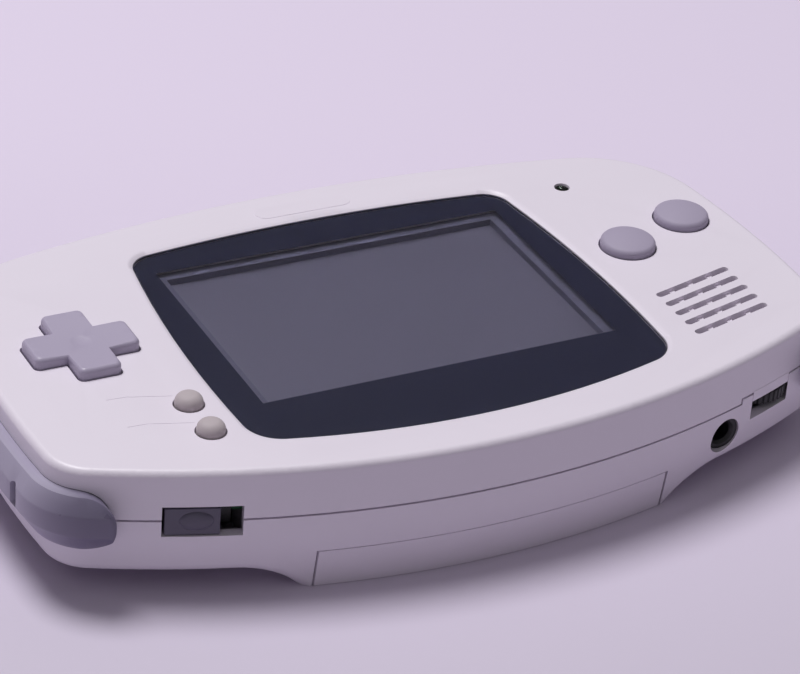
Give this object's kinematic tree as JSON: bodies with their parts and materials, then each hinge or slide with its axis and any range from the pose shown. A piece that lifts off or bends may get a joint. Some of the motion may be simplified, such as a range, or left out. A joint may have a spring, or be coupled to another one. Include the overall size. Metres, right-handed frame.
{
  "type": "handheld game console",
  "caption": "Handheld game console with a central screen, directional pad, round buttons, shoulder buttons, side rails, battery cover and cartridge slot.",
  "frame": {"origin": "on the surface that the console rests on, under the middle of the casing", "axes": "+X to the player's right, +Y from the battery edge to the cartridge edge, +Z out of the screen"},
  "size_m": [0.1444, 0.082, 0.0245],
  "materials": {
    "shell": "moulded ABS with a fine satin finish",
    "rail": "moulded ABS, satin",
    "button": "moulded ABS, satin",
    "menu_rubber": "moulded silicone, matt",
    "membrane": "moulded silicone, matt",
    "lens": "clear acrylic with a printed border",
    "display": "glass panel with a polariser film",
    "foam": "closed-cell foam",
    "frame_plastic": "moulded, as it left the tool",
    "film": "amber polyimide film",
    "black_plastic": "moulded, matt",
    "chip": "moulded epoxy",
    "speaker_cone": "pressed paper cone in a steel basket",
    "pipe": "clear acrylic, polished",
    "led": "clear epoxy",
    "board": "glass epoxy with solder mask",
    "steel": "nickel plated",
    "contact": "gold plated",
    "capacitor": "drawn can",
    "screw": "zinc plated",
    "cell": "can in a plain foil sleeve"
  },
  "bodies": {
    "casing": {"action_membrane": "membrane", "battery_cell_1": "cell", "battery_cell_2": "cell", "battery_plates": "steel", "battery_springs": "steel", "board_screws": "screw", "capacitors": "capacitor", "cartridge_connector": "black_plastic", "cartridge_contacts": "contact", "case_screws": "screw", "clock_crystal": "steel", "front_shell": "shell", "headphone_jack": "black_plastic", "lcd_gasket": "foam", "lcd_holder": "frame_plastic", "lcd_panel": "display", "lcd_ribbon": "film", "lens_tape": "foam", "light_pipe": "pipe", "link_port": "steel", "main_board": "board", "memory_chips": "chip", "menu_membrane": "membrane", "power_led": "led", "power_switch_body": "black_plastic", "power_transformer": "chip", "processor_chip": "chip", "rear_shell": "shell", "ribbon_socket": "black_plastic", "screen_lens": "lens", "shoulder_pins": "steel", "shoulder_springs": "steel", "shoulder_switches": "black_plastic", "side_rail_left": "rail", "side_rail_right": "rail", "speaker": "speaker_cone", "speaker_gasket": "foam", "volume_pot": "steel"},
    "pad_rocker": {"dpad_membrane": "membrane"},
    "pad": {"dpad": "button"},
    "button_a": {"button_a": "button"},
    "button_b": {"button_b": "button"},
    "start_button": {"start_button": "menu_rubber"},
    "select_button": {"select_button": "menu_rubber"},
    "shoulder_left": {"shoulder_button_left": "rail"},
    "shoulder_right": {"shoulder_button_right": "rail"},
    "power_slider": {"power_switch_slider": "button"},
    "volume_wheel": {"volume_wheel": "black_plastic"},
    "battery_cover": {"battery_cover": "shell"}
  },
  "joints": [
    {"name": "pad_tilt_up_down", "type": "hinge", "parent": "casing", "child": "pad_rocker", "pos_m": [-0.0519, 0.0053, 0.02075], "axis": [1, 0, 0], "range_deg": [-3.5, 3.5], "stiffness_Nm_per_rad": 0.05, "deforming": ["dpad_membrane"]},
    {"name": "pad_tilt_sideways", "type": "hinge", "parent": "pad_rocker", "child": "pad", "pos_m": [-0.0519, 0.0053, 0.02075], "axis": [0, 1, 0], "range_deg": [-3.5, 3.5], "stiffness_Nm_per_rad": 0.05, "deforming": ["dpad_membrane"]},
    {"name": "press_a", "type": "slide", "parent": "casing", "child": "button_a", "axis": [0, 0, -1], "range_m": [0, 0.0012], "stiffness_N_per_m": 400, "deforming": ["action_membrane"]},
    {"name": "press_b", "type": "slide", "parent": "casing", "child": "button_b", "axis": [0, 0, -1], "range_m": [0, 0.0012], "stiffness_N_per_m": 400, "deforming": ["action_membrane"]},
    {"name": "press_start", "type": "slide", "parent": "casing", "child": "start_button", "axis": [0, 0, -1], "range_m": [0, 0.0008], "stiffness_N_per_m": 200, "deforming": ["menu_membrane"]},
    {"name": "press_select", "type": "slide", "parent": "casing", "child": "select_button", "axis": [0, 0, -1], "range_m": [0, 0.0008], "stiffness_N_per_m": 200, "deforming": ["menu_membrane"]},
    {"name": "shoulder_left_swing", "type": "hinge", "parent": "casing", "child": "shoulder_left", "pos_m": [-0.0396, 0.0341, 0.0146], "axis": [0, 0, 1], "range_deg": [0, 3], "stiffness_Nm_per_rad": 0.3},
    {"name": "shoulder_right_swing", "type": "hinge", "parent": "casing", "child": "shoulder_right", "pos_m": [0.0396, 0.0341, 0.0146], "axis": [0, 0, -1], "range_deg": [0, 3], "stiffness_Nm_per_rad": 0.3},
    {"name": "power_slide", "type": "slide", "parent": "casing", "child": "power_slider", "axis": [0.9476, -0.3193, 0], "range_m": [0, 0.003]},
    {"name": "volume_turn", "type": "hinge", "parent": "casing", "child": "volume_wheel", "pos_m": [0.0527, -0.02489, 0.0121], "axis": [0, 0, 1], "range_deg": [0, 270]},
    {"name": "cover_swing", "type": "hinge", "parent": "casing", "child": "battery_cover", "pos_m": [0, -0.041, 0.0068], "axis": [-1, 0, 0], "range_deg": [0, 60]}
  ]
}
